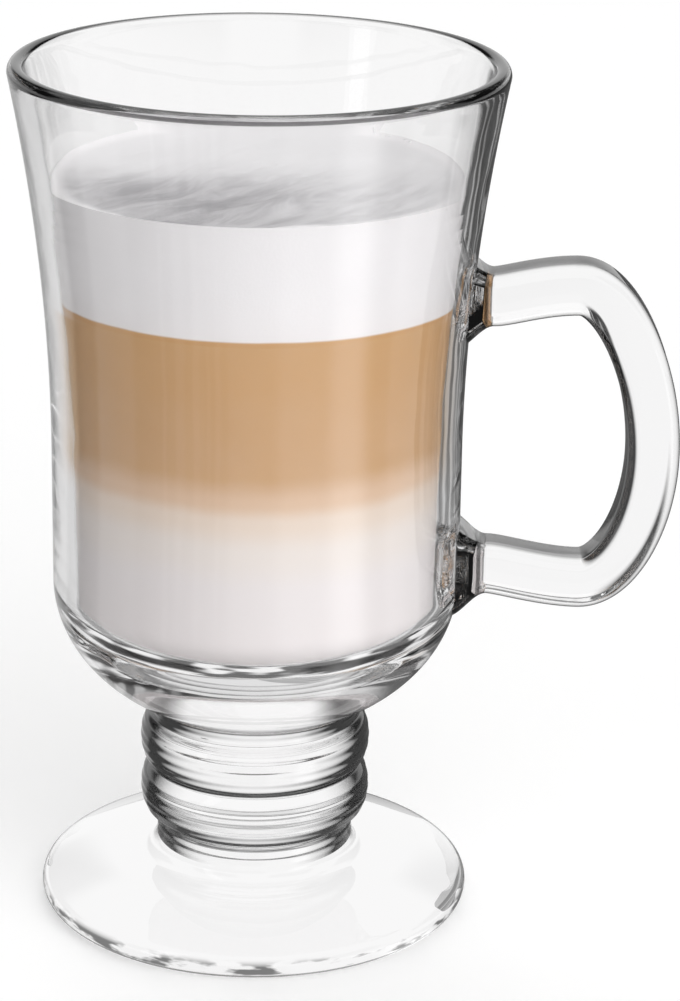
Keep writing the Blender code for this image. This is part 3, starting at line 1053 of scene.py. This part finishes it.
def swirl(piece):
    """Stirs the top of the foam into slow ridges that die out at the wall."""
    edge = drink_radius(FOAM_TOP)
    for vertex in piece.data.vertices:
        x, y, z = vertex.co
        if z < FOAM_TOP - 1e-6:
            continue
        out = math.hypot(x, y) / edge
        turn = math.atan2(y, x)
        warp = noise.noise(Vector((x * 45.0, y * 45.0, 3.0)))
        ridge = math.sin(2.0 * turn + 9.0 * out + 2.5 * warp) * min(1.0, 2.5 * out)
        along = x * math.cos(STROKE_TURN) + y * math.sin(STROKE_TURN)
        across = y * math.cos(STROKE_TURN) - x * math.sin(STROKE_TURN)
        fine = noise.fractal(Vector((along * 70.0, across * 210.0, 8.0 + warp)), 0.6, 2.0, 3)
        calm = max(0.0, 1.0 - out ** 14)
        near = 0.25 + 0.75 * min(1.0, max(0.0, 0.6 - y / edge))
        dip = FOAM_DIP - RIDGE_HEIGHT * ridge * near
        vertex.co.z = z - calm * (dip - STROKE_HEIGHT * near * max(-1.0, min(1.0, fine)))


ripple = ripple_group()
calm_waves = {"Slow Scale": 60.0, "Quick Scale": 190.0, "Depth": 0.00008}
bar_waves = {"Slow Scale": 45.0, "Quick Scale": 150.0, "Depth": 0.00009}
stem_waves = {"Slow Scale": 70.0, "Quick Scale": 240.0, "Depth": 0.00006}
glass = glass_material("clear_glass", ripple, calm_waves, PLAIN_EDGE)
paint_coffee_reflection(glass)
foot_glass = glass_material("foot_glass", ripple, calm_waves, PLAIN_EDGE)
paint_foot_edge_shade(foot_glass)
# Painted shade on the lip: a dark grey flank, and a top that darkens as it turns from the eye
lip_shade_glass = glass_material("lip_shade_glass", ripple, calm_waves, LIP_EDGE, LIP_SHADE_TONE)
top_glass = glass_material("lip_top_shade_glass", ripple, calm_waves, LIP_TOP_EDGE)
bar_glass = glass_material("bar_glass", ripple, bar_waves, BAR_EDGE)
paint_bar_shade(bar_glass)
stem_glass = glass_material("stem_glass", ripple, stem_waves, STEM_EDGE)
weld = weld_material()
layers = layers_group()
lathe = lathe_group()
foam_paint = foam_material()
bubble_paint = bubble_material()

foot = turned("foot", foot_profile(), lathe, foot_glass)
paint_level(foot, weld, (LOWER_WELD,))
paint_level(foot, seat_material(), (0.0,), SEAT_RADIUS * SEAT_SHARE)
uneven_seat(foot)
stem = turned("stem", stem_profile(), lathe, stem_glass)
paint_level(stem, weld, (LOWER_WELD, UPPER_WELD))
bowl = turned("bowl", bowl_profile(), lathe, glass)
paint_level(bowl, weld, (UPPER_WELD,))
# Painted shade: dark lines along the lip's flank and top
paint_lip(bowl, lip_shade_glass, LIP_FLANK)
paint_lip(bowl, top_glass, LIP_TOP)
wet_inside(bowl, ripple, calm_waves)

core_side = bowl_outside(ROOT_DEPTH)
core_profile = [(0.0, core_side[0][1])] + core_side + [(0.0, core_side[-1][1])]
core = turned("core", core_profile, lathe, weld)
handle = boolean(handle_bar(bar_group(), bar_glass), core)
bowl = boolean(bowl, handle)
bpy.data.objects.remove(core)

milk_cloud = {"Drift": 0.0035, "Drift Scale": 45.0, "Mottle": 0.02, "Mottle Scale": 90.0}
blend_cloud = {"Drift": 0.0035, "Drift Scale": 45.0, "Mottle": 0.04, "Mottle Scale": 110.0}
coffee_cloud = {"Drift": 0.0035, "Drift Scale": 45.0, "Mottle": 0.05, "Mottle Scale": 140.0}
milk_paint = drink_material("milk", layers, milk_cloud)
blend_paint = drink_material("blend", layers, blend_cloud)
coffee_paint = drink_material("coffee", layers, coffee_cloud)
milk = turned("milk", milk_profile(), lathe, milk_paint)
blend = turned("blend", layer_profile(MILK_LINE, BLEND_LINE, 3, 14), lathe, blend_paint)
coffee = turned("coffee", layer_profile(BLEND_LINE, FOAM_LINE, 3, 24), lathe, coffee_paint)
foam = turned("foam", layer_profile(FOAM_LINE, FOAM_TOP, 90, 20), lathe, foam_paint)
swirl(foam)
join(foam, bubbles(bubble_group(), bubble_paint))

for piece in (foot, stem, bowl, handle, milk, blend, coffee, foam):
    piece.data.set_sharp_from_angle(angle=SMOOTH_ANGLE)

slots = (
    (foot, "foot", "clear_glass"),
    (stem, "stem", "clear_glass"),
    (bowl, "bowl", "clear_glass"),
    (handle, "handle", "clear_glass"),
    (milk, "milk", "milk"),
    (blend, "blend", "blend"),
    (coffee, "coffee", "coffee"),
    (foam, "foam", "foam"),
)
for piece, node, slot in slots:
    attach(piece, "root")
    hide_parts(node)


# Table, light and camera


def seen_rays(tree):
    """One for rays that look at the set, straight or through glass, and zero for rays that light it."""
    rays = tree.nodes.new("ShaderNodeLightPath").outputs
    looking = calc(tree, "ADD", rays["Is Glossy Ray"], rays["Is Transmission Ray"])
    looking = calc(tree, "ADD", rays["Is Camera Ray"], looking)
    looking = calc(tree, "MINIMUM", looking, 1.0)
    return calc(tree, "MULTIPLY", looking, calc(tree, "LESS_THAN", rays["Diffuse Depth"], 0.5)), rays


def heading(tree, spot, repeat):
    """Degrees about the Z axis from +Y, counted anew after each repeat, so other sides look alike."""
    turn = calc(tree, "DEGREES", calc(tree, "ARCTAN2", spot["X"], spot["Y"]))
    return calc(tree, "FLOORED_MODULO", turn, repeat)


def long_paths(tree, place, rays):
    """How much of the white set is lost to rays that bounced about inside the glass, in patches."""
    patches = smooth_range(tree, noise_at(tree, place, 3.0, 1.0), *LOST_TONES)
    return calc(tree, "MULTIPLY", patches, calc(tree, "GREATER_THAN", rays["Glossy Depth"], 1.5))


def rest_of(tree, source):
    """One less a value."""
    return calc(tree, "SUBTRACT", 1.0, source)


def lobe(tree, direction, toward, narrowness, strength):
    """A soft light from one direction."""
    dot = tree.nodes.new("ShaderNodeVectorMath")
    dot.operation = "DOT_PRODUCT"
    feed(tree, dot.inputs[0], direction)
    dot.inputs[1].default_value = Vector(toward).normalized()
    shape = calc(tree, "POWER", calc(tree, "MAXIMUM", dot.outputs["Value"], 0.0), narrowness)
    return calc(tree, "MULTIPLY", shape, strength)


def studio():
    """White surroundings for the eye, and a soft dome with a key light from the front right."""
    world = bpy.data.worlds.new("studio")
    scene.world = world
    world.use_nodes = True
    tree = world.node_tree
    shade = tree.nodes["Background"]
    direction = tree.nodes.new("ShaderNodeTexCoord").outputs["Generated"]
    seen, rays = seen_rays(tree)
    spot = split(tree, direction)
    lobes = calc(tree, "ADD", lobe(tree, direction, *KEY_LIGHT), lobe(tree, direction, *BACK_LIGHT))
    dome = calc(tree, "ADD", DOME_LEVEL, lobes)
    rise = smooth_range(tree, spot["Z"], *PANEL_RISE)
    panels = calc(tree, "MULTIPLY", rise, smooth_range(tree, spot["Z"], *PANEL_TOP, 1.0, 0.0))
    panels = calc(tree, "MULTIPLY", panels, PANEL_DEPTH)
    panels = calc(tree, "MULTIPLY", panels, between(tree, heading(tree, spot, 90.0), *PANEL_SIDES))
    panels = calc(tree, "MULTIPLY", panels, rest_of(tree, rays["Is Camera Ray"]))
    kept = rest_of(tree, long_paths(tree, direction, rays))
    backdrop = calc(tree, "MULTIPLY", rest_of(tree, panels), kept)
    backdrop = calc(tree, "MULTIPLY", seen, backdrop)
    level = calc(tree, "ADD", backdrop, calc(tree, "MULTIPLY", rest_of(tree, seen), dome))
    shade.inputs["Color"].default_value = WHITE
    feed(tree, shade.inputs["Strength"], level)


def dark_panels(tree, spot, turn, rays):
    """How far the table darkens by side for rays that bounced inside the glass or went far."""
    away = off_axis(tree, spot)
    lines = tree.nodes.new("ShaderNodeCombineXYZ")
    feed(tree, lines.inputs["X"], calc(tree, "MULTIPLY", turn, SLIVER_TURN))
    feed(tree, lines.inputs["Y"], calc(tree, "MULTIPLY", away, SLIVER_LENGTH))
    slivers = smooth_range(tree, noise_at(tree, lines.outputs[0], 1.0, 1.0), *SLIVER_TONES)
    right = calc(tree, "MULTIPLY", between(tree, turn, *RIGHT_PANEL), slivers)
    panels = calc(tree, "ADD", right, between(tree, turn, *LEFT_PANEL))
    panels = calc(tree, "MAXIMUM", panels, PANEL_LEAST)
    panels = calc(tree, "MULTIPLY", panels, smooth_range(tree, away, *PANEL_GROWTH))
    inside = calc(tree, "GREATER_THAN", rays["Glossy Depth"], 0.5)
    far = calc(tree, "MULTIPLY", smooth_range(tree, away, *FAR_START), between(tree, turn, *FAR_PANEL))
    return calc(tree, "MULTIPLY", panels, calc(tree, "MAXIMUM", inside, far))


def table_shine(tree, spot, turn):
    """How bright the table looks where the outside of the glass mirrors it."""
    strip = between(tree, heading(tree, spot, 360.0), *STRIP_SIDE)
    sides = calc(tree, "MULTIPLY", between(tree, turn, *SHINE_SIDES), SHINE_LEVEL)
    shine = calc(tree, "ADD", calc(tree, "MULTIPLY", strip, STRIP_LEVEL), sides)
    return calc(tree, "ADD", shine, SHINE_LEAST)


def table_material():
    """Matt and pale, white to the eye, and lighter or darker by side in the glass."""
    material, tree, shader = new_material("table_white")
    set_values(shader, {"Roughness": 0.9, "Specular IOR Level": 0.0, "Emission Color": WHITE})
    seen, rays = seen_rays(tree)
    through = calc(tree, "SUBTRACT", seen, rays["Is Camera Ray"])
    place = tree.nodes.new("ShaderNodeTexCoord").outputs["Object"]
    spot = split(tree, place)
    turn = heading(tree, spot, 180.0)
    bright = calc(tree, "MULTIPLY", dark_panels(tree, spot, turn, rays), TABLE_THROUGH_GLOW)
    bright = calc(tree, "SUBTRACT", TABLE_THROUGH_GLOW, bright)
    bright = calc(tree, "MULTIPLY", bright, rest_of(tree, long_paths(tree, place, rays)))
    mirrored = calc(tree, "LESS_THAN", rays["Transmission Depth"], 0.5)
    bright = calc(tree, "MULTIPLY", bright, rest_of(tree, mirrored))
    shine = calc(tree, "MULTIPLY", mirrored, table_shine(tree, spot, turn))
    bright = calc(tree, "ADD", bright, shine)
    glow = calc(tree, "MULTIPLY", rays["Is Camera Ray"], TABLE_SEEN_GLOW)
    glow = calc(tree, "ADD", glow, calc(tree, "MULTIPLY", through, bright))
    feed(tree, shader.inputs["Emission Strength"], glow)
    tone = calc(tree, "MULTIPLY", rays["Is Camera Ray"], TABLE_SEEN_DIM)
    tone = calc(tree, "SUBTRACT", TABLE_TONE, tone)
    tone = calc(tree, "MULTIPLY", rest_of(tree, through), tone)
    pale = tree.nodes.new("ShaderNodeCombineColor")
    for channel in pale.inputs:
        feed(tree, channel, tone)
    feed(tree, shader.inputs["Base Color"], pale.outputs["Color"])
    return material


def table():
    """A pale table that is white to the eye and keeps the shadow."""
    mesh = bpy.data.meshes.new("table")
    sides = ((-1.0, -1.0), (1.0, -1.0), (1.0, 1.0), (-1.0, 1.0))
    corners = [(x * TABLE_HALF, y * TABLE_HALF, 0.0) for x, y in sides]
    mesh.from_pydata(corners, [], [(0, 1, 2, 3)])
    top = bpy.data.objects.new("table", mesh)
    scene.collection.objects.link(top)
    mesh.materials.append(table_material())
    top.location.z = -TABLE_DROP


def strip_light():
    """A tall softbox on the left, seen as a pale band inside the bowl."""
    data = bpy.data.lights.new("softbox", "AREA")
    data.shape = "RECTANGLE"
    data.size, data.size_y = SOFTBOX_SIZE
    data.energy = SOFTBOX_ENERGY
    lamp = bpy.data.objects.new("softbox", data)
    scene.collection.objects.link(lamp)
    lamp.location = SOFTBOX_PLACE
    lamp.rotation_euler = (SOFTBOX_AIM - SOFTBOX_PLACE).to_track_quat("-Z", "Y").to_euler()


def camera():
    """Stands where the photograph's camera stood."""
    data = bpy.data.cameras.new("camera")
    data.sensor_width = SENSOR_WIDTH
    data.lens = CAMERA_LENS
    eye = bpy.data.objects.new("camera", data)
    scene.collection.objects.link(eye)
    place = Matrix.Translation(CAMERA_PLACE)
    pitch = Matrix.Rotation(CAMERA_PITCH, 4, "X")
    roll = Matrix.Rotation(CAMERA_ROLL, 4, "Z")
    eye.matrix_world = place @ pitch @ roll
    scene.camera = eye


studio()
table()
strip_light()
camera()
scene.view_settings.view_transform = "Standard"
